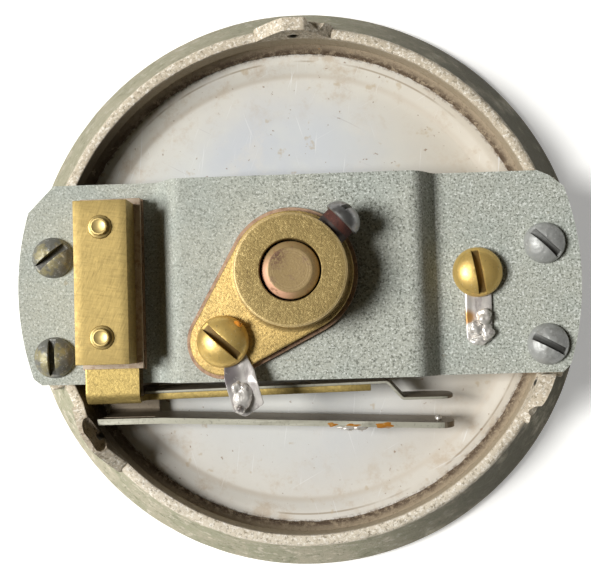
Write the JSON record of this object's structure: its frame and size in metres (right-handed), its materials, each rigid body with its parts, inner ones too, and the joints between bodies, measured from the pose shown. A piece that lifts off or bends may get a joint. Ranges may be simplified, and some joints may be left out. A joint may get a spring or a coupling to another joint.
{
  "type": "carbon microphone transmitter",
  "caption": "Round solid-back carbon transmitter seen from its open back: cast cup, diaphragm, bridge, brass electrode clamp, terminals and press-to-talk contact springs.",
  "frame": {"origin": "centre of the front face, which lies on Z = 0", "axes": "+Z to the open back, +X along the bridge to the single terminal screw, contact springs on the -Y side"},
  "size_m": [0.07, 0.07, 0.0205],
  "materials": {
    "cast_ring": "worn greenish grey paint over zinc die casting, bare at the rim",
    "bridge_zinc": "speckled grey zinc plate on steel",
    "diaphragm_aluminium": "matt rolled, scratched",
    "brass": "satin, tarnished",
    "brass_bar": "brushed along its length",
    "steel_screw": "nickel plated, worn",
    "steel_plain": "plain",
    "nickel_silver": "rolled spring strip",
    "fibre_red": "vulcanised fibre, pink-brown",
    "fibre_grey": "vulcanised fibre, grey",
    "ebonite": "moulded",
    "gasket_rubber": "dirty brown",
    "screen_gauze": "oiled silk",
    "carbon": "polished carbon",
    "carbon_grain": "loose granules",
    "mica": "thin sheet",
    "solder": "bright tin-lead",
    "silver_contact": "silver contact metal",
    "post_steel": "turned, copper-coloured chamfer"
  },
  "bodies": {
    "frame_body": {"faceplate": "cast_ring", "sound_screen": "screen_gauze", "front_gasket": "gasket_rubber", "edge_gasket": "gasket_rubber", "bridge": "bridge_zinc", "bridge_screws": "steel_screw", "electrode_post": "post_steel", "post_bush": "ebonite", "clamp_insulator": "fibre_red", "boss_clamp": "brass", "button_cup": "brass", "cup_clamp_ring": "brass", "mica_washer": "mica", "carbon_granules": "carbon_grain", "rear_carbon_disc": "carbon", "rear_electrode": "brass", "clamp_set_screw": "steel_screw", "set_screw_steel_washer": "steel_plain", "set_screw_fibre_washer": "fibre_red", "tail_screw": "brass", "tail_tag": "brass", "tail_solder": "solder", "tail_bush": "ebonite", "tail_nut": "brass", "terminal_screw": "brass", "terminal_tag": "brass", "terminal_solder": "solder", "terminal_nut": "brass", "clamp_bar": "brass_bar", "upper_bar_insulator": "fibre_red", "lower_bar_insulator": "fibre_red", "press_spring_block": "fibre_grey", "bar_screws": "brass", "bar_bushes": "ebonite", "spring_bracket": "brass_bar", "upper_spring_root": "nickel_silver", "press_spring_root": "nickel_silver", "foot_screws": "steel_plain"},
    "diaphragm_assembly": {"diaphragm": "diaphragm_aluminium", "front_electrode": "brass", "front_carbon_disc": "carbon", "stud_washers": "brass", "stud_nuts": "brass"},
    "press_spring": {"press_spring_blade": "nickel_silver", "contact_rivet": "silver_contact", "spring_solder": "solder"},
    "upper_spring": {"upper_spring_blade": "nickel_silver", "upper_contact": "silver_contact"}
  },
  "joints": [
    {"name": "diaphragm_stroke", "type": "slide", "parent": "frame_body", "child": "diaphragm_assembly", "axis": [0, 0, 1], "range_m": [-0.0001, 0.0001], "stiffness_N_per_m": 2000},
    {"name": "press_spring_bend", "type": "hinge", "parent": "frame_body", "child": "press_spring", "pos_m": [-0.01717, -0.01593, 0.00908], "axis": [0, -0.1323, 0.9912], "range_deg": [0, 3.6], "stiffness_Nm_per_rad": 1.2},
    {"name": "upper_spring_bend", "type": "hinge", "parent": "frame_body", "child": "upper_spring", "pos_m": [-0.0188, -0.0125, 0.00953], "axis": [0, -0.1323, 0.9912], "range_deg": [0, 1.2], "stiffness_Nm_per_rad": 0.09}
  ]
}
